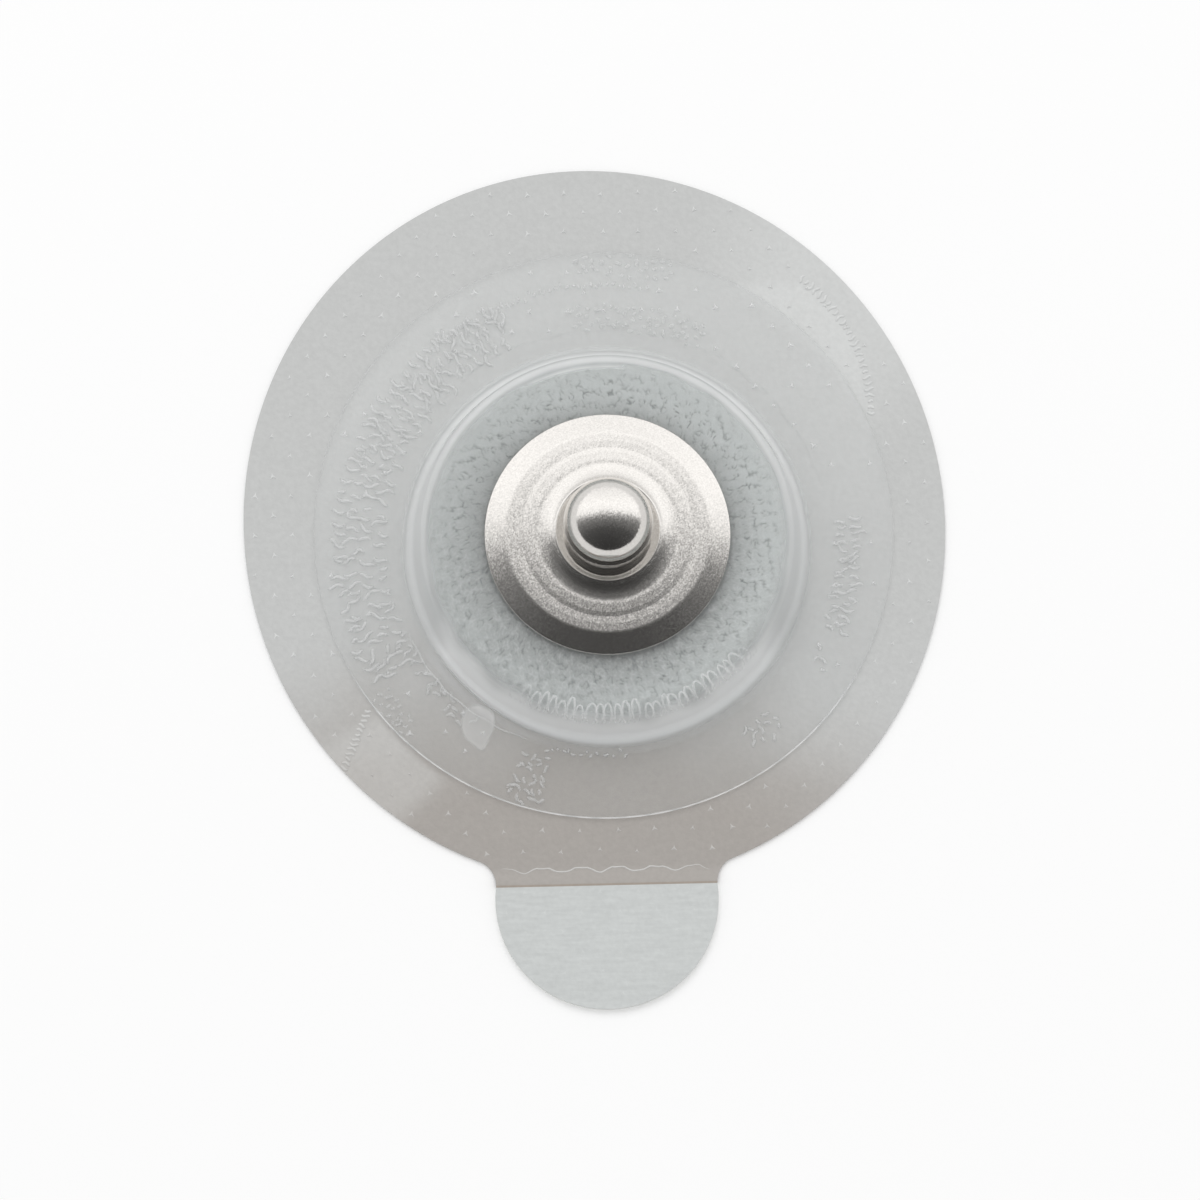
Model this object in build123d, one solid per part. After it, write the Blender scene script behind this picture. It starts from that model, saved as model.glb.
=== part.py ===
from build123d import *
import os

# Snap electrode: perforated tape with a grip tab, cover disc, gel sponge, sensor eyelet and snap stud.
# Millimetres. The origin is where the stud's axis meets the skin side, +Z goes out through the stud and
# -Y goes towards the grip tab.

# Gel sponge, a foam disc in the hole of the tape
sponge_radius = 8.15
sponge_height = 2.4
sponge_edge_round = 0.6

# Cover disc, a clear film drawn up over the sponge
cover_thickness = 0.12
dome_clearance = 0.08
skirt_run = 0.4
skirt_bend = 0.4
cover_overlap = 3.99
cover_shift_x = -0.12
cover_shift_y = 0.59
post_hole_clearance = 0.05

# Backing tape, die-cut as an oval with a round tab
tape_thickness = 0.15
tape_hole_margin = 0.45
tape_side_margin = 2.69
tape_end_margin = 3.4
tape_shift_x = -0.52
tape_shift_y = 1.06
tape_turn = 10.2
tab_radius = 4.98
tab_reach = 0.69
tab_shift_x = -0.39
neck_round = 0.94

# Tab paper, under the end of the tab
paper_thickness = 0.12
paper_edge_above_tab_centre = 0.65
tape_climb = 0.77

# Sensor eyelet, a moulded flange with a post
eyelet_inset = 0.25
eyelet_flange_thickness = 0.5
eyelet_edge_round = 0.12
pocket_clearance = 0.05
post_clearance = 0.05
barb_bulge = 0.15

# Snap stud, pressed from sheet
sheet = 0.25
rim_height = 0.25
rim_round = 0.1
hem_width = 0.5
border_width = 0.93
border_rise = 0.4
shoulder_round = 0.5
flange_land = 0.51
flange_rise = 0.16
groove_width = 0.4
groove_depth = 0.02
groove_round = 0.3
groove_gap = 0.96
collar_flare = 0.36
collar_height = 0.36
collar_foot_round = 1.0
collar_round = 0.08
collar_ledge = 0.7
ledge_dish = 0.14
neck_undercut = 0.35
neck_height = 0.56
neck_foot_round = 0.15
neck_top_round = 0.25
head_radius = 2.0
head_flare = 0.45
head_land = 0.4
land_round = 0.1
hollow_round = 0.05

# Levels and radii that follow from the sizes above
tape_top = tape_thickness
cover_under = sponge_height
cover_top = cover_under + cover_thickness
skirt_top_radius = sponge_radius + dome_clearance
skirt_foot_radius = skirt_top_radius + skirt_run
tape_hole_radius = skirt_foot_radius + tape_hole_margin
cover_radius = tape_hole_radius + cover_overlap
tape_half_width = cover_radius + tape_side_margin
tape_half_length = cover_radius + tape_end_margin
tab_centre_y = tape_shift_y - tape_half_length - tab_reach
paper_edge_y = tab_centre_y + paper_edge_above_tab_centre
climb_foot_y = paper_edge_y + tape_climb

neck_radius = head_radius - neck_undercut
collar_top_radius = neck_radius + collar_ledge
collar_radius = collar_top_radius + collar_flare
groove_inner_radius = collar_radius + groove_gap
groove_middle_radius = groove_inner_radius + 0.5 * groove_width
groove_outer_radius = groove_inner_radius + groove_width
shoulder_radius = groove_outer_radius + flange_land
rim_radius = shoulder_radius + border_width
hem_radius = rim_radius - hem_width
eyelet_flange_radius = rim_radius - eyelet_inset
flange_under = cover_top
rim_top = flange_under + rim_height
shoulder_top = rim_top + border_rise
collar_foot = shoulder_top + flange_rise
collar_top = collar_foot + collar_height
neck_top = collar_top + neck_height
land_foot = neck_top + head_flare
land_top = land_foot + head_land
stud_top = land_top + head_radius
post_radius = neck_radius - sheet - post_clearance


def turned(outline):
    """Solid made by turning a half section (radius, height) round the stud's axis."""
    return revolve(Plane.XZ * make_face(outline), Axis.Z)


def post_disc(radius, low, high, x=0.0, y=0.0):
    """Upright cylinder between two heights."""
    return Pos(x, y, low) * Cylinder(radius, high - low, align=(Align.CENTER, Align.CENTER, Align.MIN))


def die_outline():
    """Outline of the die-cut tape: an oval, turned a little as it was stuck on, and the round tab."""
    oval = Pos(tape_shift_x, tape_shift_y) * Rot(0, 0, tape_turn) * Ellipse(tape_half_width, tape_half_length)
    tab = Pos(tab_shift_x, tab_centre_y) * Circle(tab_radius)
    outline = oval + tab
    # the two corners where the tab meets the oval lie between the middles of the two
    low = tab_centre_y + 0.1 * tab_radius
    high = tape_shift_y - 0.1 * tape_half_length
    return fillet(outline.vertices().filter_by_position(Axis.Y, low, high), neck_round)


def backing_tape(outline):
    """Tape of even thickness that lies flat and climbs on to the tab paper near the neck."""
    far = 4 * tape_half_length
    side = make_face(
        Polyline(
            (far, 0),
            (climb_foot_y, 0),
            (paper_edge_y, paper_thickness),
            (-far, paper_thickness),
            (-far, paper_thickness + tape_thickness),
            (paper_edge_y, paper_thickness + tape_thickness),
            (climb_foot_y, tape_thickness),
            (far, tape_thickness),
            close=True,
        )
    )
    strip = extrude(Plane.YZ * side, far, both=True)
    block = extrude(outline, paper_thickness + 2 * tape_thickness)
    return (strip & block) - post_disc(tape_hole_radius, -1, tape_thickness + 1)


def tab_paper(outline):
    """Paper cut with the same die as the tab, as far as its straight upper edge."""
    reach = 4 * tab_radius
    end = Pos(tab_shift_x, paper_edge_y) * Rectangle(reach, reach, align=(Align.CENTER, Align.MAX))
    return extrude(outline & end, paper_thickness)


def skirt_line(lift):
    """Half section of the dome, from the post's hole to the flat rim, raised off its own underside."""
    rise = cover_under - tape_top
    slope_length = (rise**2 + skirt_run**2) ** 0.5
    # a face parallel to the sloping skirt meets the level parts this much further out
    shift = lift * (slope_length - skirt_run) / rise
    hole = post_radius + post_hole_clearance
    top = cover_under + lift
    foot = tape_top + lift
    return [
        (hole, top),
        (skirt_top_radius + shift, top),
        (skirt_foot_radius + shift, foot),
        (tape_hole_radius, foot),
    ]


def cover_disc():
    """Clear film: a dome round the stud's axis and a flat rim that is glued to the tape."""
    under = FilletPolyline(*skirt_line(0), radius=[skirt_bend, skirt_bend + cover_thickness])
    over = FilletPolyline(*skirt_line(cover_thickness), radius=[skirt_bend + cover_thickness, skirt_bend])
    inner_edge = Line(under @ 0, over @ 0)
    outer_edge = Line(under @ 1, over @ 1)
    dome = turned(Wire([*under.edges(), *outer_edge.edges(), *over.edges(), *inner_edge.edges()]))
    rim = post_disc(cover_radius, tape_top, tape_top + cover_thickness, cover_shift_x, cover_shift_y)
    rim -= post_disc(tape_hole_radius, 0, tape_top + 1)
    return dome + rim


def gel_sponge():
    """Foam disc with a pocket for the eyelet's flange in its top."""
    outline = FilletPolyline(
        (0, 0),
        (sponge_radius, 0),
        (sponge_radius, sponge_height),
        (0, sponge_height),
        radius=[0, sponge_edge_round],
    )
    axis = Line((0, sponge_height), (0, 0))
    block = turned(Wire([*outline.edges(), *axis.edges()]))
    pocket = post_disc(
        eyelet_flange_radius + pocket_clearance, sponge_height - eyelet_flange_thickness, sponge_height + 1
    )
    return block - pocket


def sensor_eyelet():
    """Moulded eyelet: a round flange, and a post with a barb that sits in the hollow of the stud's head."""
    flange_low = cover_under - eyelet_flange_thickness
    barb_radius = post_radius + barb_bulge
    outline = FilletPolyline(
        (0, flange_low),
        (eyelet_flange_radius, flange_low),
        (eyelet_flange_radius, cover_under),
        (post_radius, cover_under),
        (post_radius, neck_top),
        (barb_radius, land_foot),
        (post_radius, land_foot + 0.5 * head_land),
        (post_radius, land_top),
        radius=[eyelet_edge_round, 0, 0, 0, 0, 0],
    )
    tip = CenterArc((0, land_top), post_radius, 0, 90)
    axis = Line((0, land_top + post_radius), (0, flange_low))
    return turned(Wire([*outline.edges(), *tip.edges(), *axis.edges()]))


def flange_level(radius):
    """Height of the flange's gently sloping top between the collar and the shoulder."""
    slope = flange_rise / (shoulder_radius - collar_radius)
    return shoulder_top + slope * (shoulder_radius - radius)


def snap_stud():
    """Pressed stud: flange with a sloping border and a shallow groove, dished collar, neck and ball head."""
    skin = FilletPolyline(
        (0, flange_under),
        (rim_radius, flange_under),
        (rim_radius, rim_top),
        (shoulder_radius, shoulder_top),
        (groove_outer_radius, flange_level(groove_outer_radius)),
        (groove_middle_radius, flange_level(groove_middle_radius) - groove_depth),
        (groove_inner_radius, flange_level(groove_inner_radius)),
        (collar_radius, collar_foot),
        (collar_top_radius, collar_top),
        (neck_radius, collar_top - ledge_dish),
        (neck_radius, neck_top),
        (head_radius, land_foot),
        (head_radius, land_top),
        radius=[
            rim_round,
            rim_round,
            shoulder_round,
            groove_round,
            groove_round,
            groove_round,
            collar_foot_round,
            collar_round,
            neck_foot_round,
            neck_top_round,
            land_round,
        ],
    )
    crown = CenterArc((0, land_top), head_radius, 0, 90)
    axis = Line((0, stud_top), (0, flange_under))
    body = turned(Wire([*skin.edges(), *crown.edges(), *axis.edges()]))

    # the hollow keeps the sheet's thickness under the flange and inside the head
    hem_level = shoulder_top - border_rise * (hem_radius - shoulder_radius) / border_width
    hollow = FilletPolyline(
        (0, flange_under),
        (hem_radius, flange_under),
        (hem_radius, hem_level - sheet),
        (shoulder_radius, shoulder_top - sheet),
        (neck_radius - sheet, collar_foot - sheet),
        (neck_radius - sheet, neck_top),
        (head_radius - sheet, land_foot),
        (head_radius - sheet, land_top),
        radius=[0] + [hollow_round] * 5,
    )
    inner_crown = CenterArc((0, land_top), head_radius - sheet, 0, 90)
    inner_axis = Line((0, stud_top - sheet), (0, flange_under))
    cavity = turned(Wire([*hollow.edges(), *inner_crown.edges(), *inner_axis.edges()]))
    return body - cavity


die = die_outline()
nodes = {
    "backing_tape": backing_tape(die),
    "tab_paper": tab_paper(die),
    "cover_disc": cover_disc(),
    "gel_sponge": gel_sponge(),
    "sensor_eyelet": sensor_eyelet(),
    "snap_stud": snap_stud(),
}

os.makedirs("parts", exist_ok=True)
for name, shape in nodes.items():
    export_step(shape, f"parts/{name}.step")
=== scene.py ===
# Snap electrode for heart monitoring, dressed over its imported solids. The sums are in millimetres and the
# meshes in metres. The skin side is z = 0, the stud's axis is Z and the grip tab lies towards -Y.
import math

import bpy
import numpy as np
from mathutils import Matrix, Vector


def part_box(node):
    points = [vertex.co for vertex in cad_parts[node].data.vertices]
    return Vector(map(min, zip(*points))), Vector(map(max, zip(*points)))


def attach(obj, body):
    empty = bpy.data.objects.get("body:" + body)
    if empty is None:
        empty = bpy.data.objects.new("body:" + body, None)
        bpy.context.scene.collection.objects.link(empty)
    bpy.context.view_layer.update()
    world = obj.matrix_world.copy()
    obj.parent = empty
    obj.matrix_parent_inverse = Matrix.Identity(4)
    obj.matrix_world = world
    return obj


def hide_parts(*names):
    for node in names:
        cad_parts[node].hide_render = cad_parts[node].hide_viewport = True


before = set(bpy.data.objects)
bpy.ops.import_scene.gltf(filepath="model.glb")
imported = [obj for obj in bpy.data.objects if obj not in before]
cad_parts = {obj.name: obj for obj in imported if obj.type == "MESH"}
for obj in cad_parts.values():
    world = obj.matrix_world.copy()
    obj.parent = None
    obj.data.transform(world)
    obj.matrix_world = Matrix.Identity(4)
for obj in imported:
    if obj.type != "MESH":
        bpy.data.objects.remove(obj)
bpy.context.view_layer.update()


# Backing tape
# Clear polyethylene film with a coat of skin adhesive underneath, pricked all over by a needle roller and cut
# by a die to an oval with a round tab. It lies on the skin, and at the neck it climbs on to the tab's paper.
MM = 0.001


def span(node):
    """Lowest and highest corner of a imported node, in millimetres."""
    low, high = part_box(node)
    return np.array(low) / MM, np.array(high) / MM


tape_high = span("backing_tape")[1]
paper_low, paper_high = span("tab_paper")
paper_thickness = paper_high[2]
paper_edge = paper_high[1]
tape_thickness = tape_high[2] - paper_thickness
tape_hole = 9.08
oval_middle_x = -0.52
oval_middle_y = 1.06
oval_half_width = 15.76
oval_half_length = 16.47
oval_turn = math.radians(10.2)
tab_radius = (paper_high[0] - paper_low[0]) / 2
tab_middle_x = (paper_low[0] + paper_high[0]) / 2
tab_middle_y = paper_low[1] + tab_radius
neck_round = 0.94
climb_run = 0.77
climb_foot = paper_edge + climb_run
prick_pitch = 1.68
prick_row_pitch = 0.92
prick_start_x = 0.15
prick_start_y = -12.98
prick_scatter = 0.03
prick_margin = 0.3
cover_shift_x = -0.12
cover_shift_y = 0.59
cover_radius = 13.07


def outside_die(x, y):
    """Distance outside the die line: that to the turned oval and that to the round tab, joined by a round in
    the two corners, which is the rounded union of the two distances."""
    off_x = x - oval_middle_x
    off_y = y - oval_middle_y
    wide = (off_x * math.cos(oval_turn) + off_y * math.sin(oval_turn)) / oval_half_width
    long = (off_y * math.cos(oval_turn) - off_x * math.sin(oval_turn)) / oval_half_length
    part = np.hypot(wide, long)
    slope = np.maximum(np.hypot(wide / oval_half_width, long / oval_half_length), 0.001)
    to_oval = (part - 1) * part / slope
    to_tab = np.hypot(x - tab_middle_x, y - tab_middle_y) - tab_radius
    corner = np.hypot(np.maximum(neck_round - to_oval, 0), np.maximum(neck_round - to_tab, 0))
    return np.maximum(neck_round, np.minimum(to_oval, to_tab)) - corner


def die_reach(angle):
    """Length of the ray from the stud's axis to the die line at each angle, found by halving."""
    inside = np.full_like(angle, tape_hole)
    outside = np.full_like(angle, 2 * tape_hole + tab_radius)
    for _ in range(40):
        middle = (inside + outside) / 2
        within = outside_die(middle * np.cos(angle), middle * np.sin(angle)) < 0
        inside = np.where(within, middle, inside)
        outside = np.where(within, outside, middle)
    return inside


def even_angles(count):
    """Angles of points at even steps along the die line, anticlockwise from the tab."""
    angle = np.linspace(-math.pi / 2, 1.5 * math.pi, 40 * count + 1)
    reach = die_reach(angle)
    steps = np.hypot(np.diff(reach * np.cos(angle)), np.diff(reach * np.sin(angle)))
    run = np.concatenate([[0], np.cumsum(steps)])
    return np.interp(np.arange(count) * run[-1] / count, run, angle)


def prick_wave(x):
    """Wave with one crest for each prick along a row, its crests cut off flat half way up."""
    return np.minimum(np.cos(2 * math.pi * (x - prick_start_x) / prick_pitch), 0.5)


def climb(x, y):
    """Height of the tape's underside: none on the skin, the paper's thickness on the tab, and a smooth step
    between them whose foot waves from prick to prick."""
    foot = climb_foot + 0.07 * prick_wave(x)
    part = np.clip((foot - y) / climb_run, 0, 1)
    return paper_thickness * part * part * (3 - 2 * part)


def grid_faces(rows, columns, ring):
    """Quads between neighbouring rows of a grid that closes round its columns. A ring's last row joins its
    first. Otherwise a pole point closes each end, numbered after the grid's own points."""
    row = np.arange(rows if ring else rows - 1)[:, None] * columns
    above = (row + columns) % (rows * columns)
    column = np.arange(columns)[None, :]
    beside = (column + 1) % columns
    corners = [row + column, above + column, above + beside, row + beside]
    faces = np.stack(corners, axis=-1).reshape(-1, 4).tolist()
    if not ring:
        first = np.arange(columns)
        following = (first + 1) % columns
        last = (rows - 1) * columns
        start = np.full(columns, rows * columns)
        faces += np.stack([start, first, following], axis=-1).tolist()
        faces += np.stack([last + first, start + 1, last + following], axis=-1).tolist()
    return faces


def new_piece(name, points, faces, crease=40):
    """Object with a smooth-shaded mesh of points in millimetres, sharp where faces turn by over crease."""
    mesh = bpy.data.meshes.new(name)
    mesh.from_pydata((np.asarray(points) * MM).tolist(), [], faces)
    mesh.polygons.foreach_set("use_smooth", np.ones(len(mesh.polygons), dtype=bool))
    mesh.set_sharp_from_angle(angle=math.radians(crease))
    mesh.update()
    piece = bpy.data.objects.new(name, mesh)
    bpy.context.scene.collection.objects.link(piece)
    return piece


def store(piece, name, values):
    """Keeps one number or one vector for each point of a piece, for its material to read."""
    values = np.asarray(values, dtype=np.float32)
    kind, key = ("FLOAT", "value") if values.ndim == 1 else ("FLOAT_VECTOR", "vector")
    piece.data.attributes.new(name, kind, "POINT").data.foreach_set(key, values.ravel())


def pricks(x, y, z, arm, height, seed):
    """Burrs that the needles leave: at each place a low pyramid on a three-pointed star, its arms turned a
    little at random. Its foot is sunk a little. Returns the points, six round each tip, and the faces."""
    random = np.random.default_rng(seed)
    count = len(x)
    corner = np.arange(6)
    notch_reach = 0.36
    foot_sink = 0.01
    turn = random.normal(0, 0.25, count)
    size = arm * random.uniform(0.8, 1.2, count)
    reach = np.where(corner % 2 == 0, 1.0, notch_reach)
    angle = math.pi / 2 + corner * math.pi / 3 + turn[:, None]
    points = np.zeros((count, 7, 3))
    points[:, :6, 0] = x[:, None] + size[:, None] * reach * np.cos(angle)
    points[:, :6, 1] = y[:, None] + size[:, None] * reach * np.sin(angle)
    points[:, :6, 2] = z[:, None] - foot_sink
    points[:, 6, 0] = x
    points[:, 6, 1] = y
    points[:, 6, 2] = z + height * random.uniform(0.7, 1.2, count)
    star = np.stack([corner, (corner + 1) % 6, np.full(6, 6)], axis=-1)
    faces = (np.arange(count)[:, None, None] * 7 + star).reshape(-1, 3)
    return points.reshape(-1, 3), faces


def prick_places():
    """Places of the needles: rows at one pitch, every other row moved along by half a step, with a slight
    scatter, inside the die line."""
    row = np.arange(-12, 40)[:, None]
    column = np.arange(-12, 13)[None, :]
    x = prick_start_x + prick_pitch * (column + 0.5 * (row % 2))
    y = prick_start_y + prick_row_pitch * row + 0 * x
    scatter = np.random.default_rng(11).normal(0, prick_scatter, (2, *x.shape))
    x = (x + scatter[0]).ravel()
    y = (y + scatter[1]).ravel()
    keep = outside_die(x, y) < -prick_margin
    return x[keep], y[keep]


def ridges(x, y, z, half_width, height):
    """Fine raised lines, one along each row of x and y: a strip of five points across, arched, sunk a little
    at its sides and closing to nothing at both ends. Returns its points, its faces and how high in the arch
    each point is."""
    side_sink = 0.008
    step_x = np.gradient(x, axis=1)
    step_y = np.gradient(y, axis=1)
    step = np.hypot(step_x, step_y)
    count, length = x.shape
    taper = np.sqrt(1 - np.linspace(-0.99, 0.99, length) ** 4)
    side = np.array([-1.0, -0.55, 0.0, 0.55, 1.0]) * half_width
    arch = taper[:, None] * np.array([0.0, 0.7, 1.0, 0.7, 0.0])
    points = np.stack(
        [
            x[..., None] - (step_y / step * taper)[..., None] * side,
            y[..., None] + (step_x / step * taper)[..., None] * side,
            z[..., None] - side_sink + (height + side_sink) * arch,
        ],
        axis=-1,
    )
    corner = 5 * np.arange(length - 1)[:, None] + np.arange(4)
    strip = np.stack([corner, corner + 5, corner + 6, corner + 1], axis=-1).reshape(-1, 4)
    faces = (5 * length * np.arange(count)[:, None, None] + strip).reshape(-1, 4)
    return points.reshape(-1, 3), faces, np.tile(arch.ravel(), count)


def sways(x, y, heading, length, seed):
    """Short paths of nine points about the places given, each along its heading and swaying like an S."""
    phase = np.random.default_rng(seed).uniform(0, 2 * math.pi, (len(x), 1))
    along = np.linspace(-0.5, 0.5, 9)
    run = length[:, None] * along
    off = 0.1 * length[:, None] * np.sin(2 * math.pi * along + phase)
    ahead, beside = np.cos(heading)[:, None], np.sin(heading)[:, None]
    return x[:, None] + run * ahead - off * beside, y[:, None] + run * beside + off * ahead


def bell(value, middle, half_width):
    """Smooth hill: one in the middle, nothing beyond half_width on either side."""
    part = np.clip(1 - np.abs(value - middle) / half_width, 0, 1)
    return part * part * (3 - 2 * part)


def between(value, low, high, soft):
    """Smooth plateau: one between low and high, falling to nothing over soft on either side."""
    part = np.clip(np.minimum(value - low, high - value) / soft + 0.5, 0, 1)
    return part * part * (3 - 2 * part)


def joined(points, faces, more_points, more_faces):
    """Points and faces of a mesh with those of another put after them."""
    return np.concatenate([points, more_points]), faces + (more_faces + len(points)).tolist()


# the film's section goes out along its top, down the cut edge, back underneath and up at the hole
tape_columns = 720
top_count = 64
under_count = 12
tape_angle = even_angles(tape_columns)
tape_reach = die_reach(tape_angle)
across = np.concatenate([np.linspace(0, 1, top_count), [1.0, 1.0], np.linspace(1, 0, under_count), [0.0]])
through = np.concatenate([np.ones(top_count), [0.66, 0.33], np.zeros(under_count), [0.5]])
tape_r = tape_hole + across[:, None] * (tape_reach - tape_hole)
tape_x = tape_r * np.cos(tape_angle)
tape_y = tape_r * np.sin(tape_angle)
tape_z = climb(tape_x, tape_y) + tape_thickness * through[:, None]
tape_points = np.stack([tape_x, tape_y, tape_z], axis=-1).reshape(-1, 3)
tape_faces = grid_faces(len(across), tape_columns, ring=True)

# the film looks paler where it stands off the table: in a round patch and a glow on the head's side, and in a
# wedge beside the tab. Under the cover it is painted lighter towards the head, a painted light on the lit side
patch_x = 4.13
patch_y = 6.06
patch_radius = 7.96
uncovered = between(np.hypot(tape_x - cover_shift_x, tape_y - cover_shift_y), cover_radius - 0.2, 40, 0.8)
patch = between(np.hypot(tape_x - patch_x, tape_y - patch_y), -1, patch_radius, 0.35)
patch *= uncovered * between(tape_y, -2.5, 12.0, 0.7)
tape_degrees = np.degrees(tape_angle) % 360
corner_glow = uncovered * between(tape_degrees, 28, 66, 24)
# painted light: under the cover the tape is lighter towards the head
painted_head_light = (1 - uncovered) * np.clip(tape_y / 7, 0, 1)
wedge = between(tape_degrees + 0.6 * (tape_r - 13), 216, 234, 5) * between(tape_r, 12.9, 20, 0.4)
tape_pale = [(0.12 * patch + 0.22 * corner_glow + 0.13 * painted_head_light + 0.2 * wedge).ravel()]

prick_x, prick_y = prick_places()
bare = np.hypot(prick_x - cover_shift_x, prick_y - cover_shift_y) > cover_radius + 0.3
on_tab = prick_y < paper_edge - 0.2
on_film = bare & (prick_y > climb_foot + 0.2)
by_head = on_film & (prick_y > -5)
by_neck = on_film & (prick_y <= -5)
# the burrs are pale, and drawn paler on the head's side and at their tips, a painted highlight where they
# catch the light
for places, arm, height, seed, paleness in (
    (by_head, 0.2, 0.055, 21, 0.5),
    (by_neck, 0.21, 0.03, 24, 0.3),
    (bare & on_tab, 0.2, 0.012, 22, 0.15),
):
    x, y = prick_x[places], prick_y[places]
    burr_points, burr_faces = pricks(x, y, climb(x, y) + tape_thickness, arm, height, seed)
    tape_points, tape_faces = joined(tape_points, tape_faces, burr_points, burr_faces)
    tape_pale.append(np.tile(paleness * np.array([0.6] * 6 + [1.0]), len(x)))

# the adhesive's contact line across the neck stands up as a fine wavy bead, and a row of short teeth edges
# the paler patch and another the wedge
bead_x = np.linspace(-5.2, 4.35, 280)[None, :]
bead_y = climb_foot - 0.04 + 0.13 * prick_wave(bead_x) + 0.03 * np.sin(7.3 * bead_x) * np.sin(2.1 * bead_x)
patch_turn = np.radians(np.arange(-13, 53, 2.0))
wedge_run = np.linspace(0, 1, 15)
wedge_x = -10.7
wedge_y = -6.9
wedge_heading = np.radians(-22)
teeth_x = np.concatenate([patch_x + patch_radius * np.cos(patch_turn), wedge_x - 1.3 * wedge_run])
teeth_y = np.concatenate([patch_y + patch_radius * np.sin(patch_turn), wedge_y - 3.0 * wedge_run])
teeth_heading = np.concatenate([patch_turn, wedge_heading + 0 * wedge_run])
clear = np.hypot(teeth_x - cover_shift_x, teeth_y - cover_shift_y) > cover_radius + 0.15
teeth_length = np.random.default_rng(26).uniform(0.25, 0.55, clear.sum())
teeth = sways(teeth_x[clear], teeth_y[clear], teeth_heading[clear], teeth_length, 27)
for (x, y), half_width, height, paleness in (
    ((bead_x, bead_y), 0.05, 0.025, 0.5),
    (teeth, 0.085, 0.04, 0.42),
):
    ridge_points, ridge_faces, arch = ridges(x, y, climb(x, y) + tape_thickness, half_width, height)
    tape_points, tape_faces = joined(tape_points, tape_faces, ridge_points, ridge_faces)
    tape_pale.append(paleness * (0.2 + 0.8 * arch))
backing_tape = new_piece("backing_tape_film", tape_points, tape_faces)
store(backing_tape, "pale_and_painted_light", np.concatenate(tape_pale))


def linear(code):
    """Linear colour, with full cover, of an sRGB hex code."""
    parts = [int(code[i : i + 2], 16) / 255 for i in (1, 3, 5)]
    return [c / 12.92 if c <= 0.04045 else ((c + 0.055) / 1.055) ** 2.4 for c in parts] + [1.0]


def add_node(tree, kind, sockets=None, **settings):
    """Adds a shader node, gives it its settings, and sets or links each named or numbered input."""
    node = tree.nodes.new(kind)
    for name, value in settings.items():
        setattr(node, name, value)
    for key, value in (sockets or {}).items():
        if isinstance(value, bpy.types.NodeSocket):
            tree.links.new(value, node.inputs[key])
        else:
            node.inputs[key].default_value = value
    return node


def new_finish(name, piece):
    """Starts a material and puts it on a piece. Returns its node tree and its one shader."""
    finish = bpy.data.materials.new(name)
    finish.use_nodes = True
    piece.data.materials.clear()
    piece.data.materials.append(finish)
    return finish.node_tree, finish.node_tree.nodes["Principled BSDF"]


# Perforated polyethylene tape: hazy grey with a soft shine, and paler and duller, with the paper's fibres,
# where the paper lies under it. Its colour is also darker and a little warmer towards the tab, a painted shade
# for the dark side of the room that the film mirrors there.
tree, shader = new_finish("perforated polyethylene tape", backing_tape)
place = add_node(tree, "ShaderNodeTexCoord").outputs["Object"]
along = add_node(tree, "ShaderNodeSeparateXYZ", {"Vector": place})
height_on_film = along.outputs["Y"]
aside = add_node(tree, "ShaderNodeMath", {0: along.outputs["X"], 1: along.outputs["X"]}, operation="MULTIPLY")
slant = add_node(tree, "ShaderNodeVectorMath", {0: place, 1: (0.15, 1.0, 0.0)}, operation="DOT_PRODUCT")
cloud = add_node(tree, "ShaderNodeTexNoise", {"Vector": place, "Scale": 1 / (7 * MM), "Detail": 2.0})
drift = add_node(
    tree,
    "ShaderNodeMath",
    {0: cloud.outputs["Fac"], 1: 6 * MM, 2: slant.outputs["Value"]},
    operation="MULTIPLY_ADD",
)
bowed = add_node(
    tree,
    "ShaderNodeMath",
    {0: aside.outputs[0], 1: 0.017 / MM, 2: drift.outputs[0]},
    operation="MULTIPLY_ADD",
)
painted_light_towards_head = add_node(
    tree,
    "ShaderNodeMapRange",
    {"Value": bowed.outputs[0], "From Min": -9.5 * MM, "From Max": 1.0 * MM},
    interpolation_type="SMOOTHSTEP",
)
# painted shade: the film's grey runs darker and warmer towards the tab
film_colour = add_node(
    tree,
    "ShaderNodeMix",
    {0: painted_light_towards_head.outputs["Result"], 6: linear("#A8A39E"), 7: linear("#C5C6C5")},
    data_type="RGBA",
)
on_paper = add_node(
    tree,
    "ShaderNodeMapRange",
    {"Value": height_on_film, "From Min": (paper_edge + 0.02) * MM, "From Max": (paper_edge - 0.02) * MM},
)
lengthwise = add_node(tree, "ShaderNodeVectorMath", {0: place, 1: (0.16, 1.0, 1.0)}, operation="MULTIPLY")
fibres = add_node(
    tree,
    "ShaderNodeTexNoise",
    {"Vector": lengthwise.outputs[0], "Scale": 1 / (0.16 * MM), "Detail": 2.0},
)
fibre_colour = add_node(
    tree,
    "ShaderNodeMix",
    {0: fibres.outputs["Fac"], 6: linear("#C1C4C3"), 7: linear("#D3D6D5")},
    data_type="RGBA",
)
tape_colour = add_node(
    tree,
    "ShaderNodeMix",
    {0: on_paper.outputs["Result"], 6: film_colour.outputs[2], 7: fibre_colour.outputs[2]},
    data_type="RGBA",
)
from_edge = add_node(
    tree, "ShaderNodeMath", {0: height_on_film, 1: paper_edge * MM, 2: 0.05 * MM}, operation="COMPARE"
)
edge_colour = add_node(
    tree,
    "ShaderNodeMix",
    {0: from_edge.outputs[0], 6: tape_colour.outputs[2], 7: linear("#A0968C")},
    data_type="RGBA",
)
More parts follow.
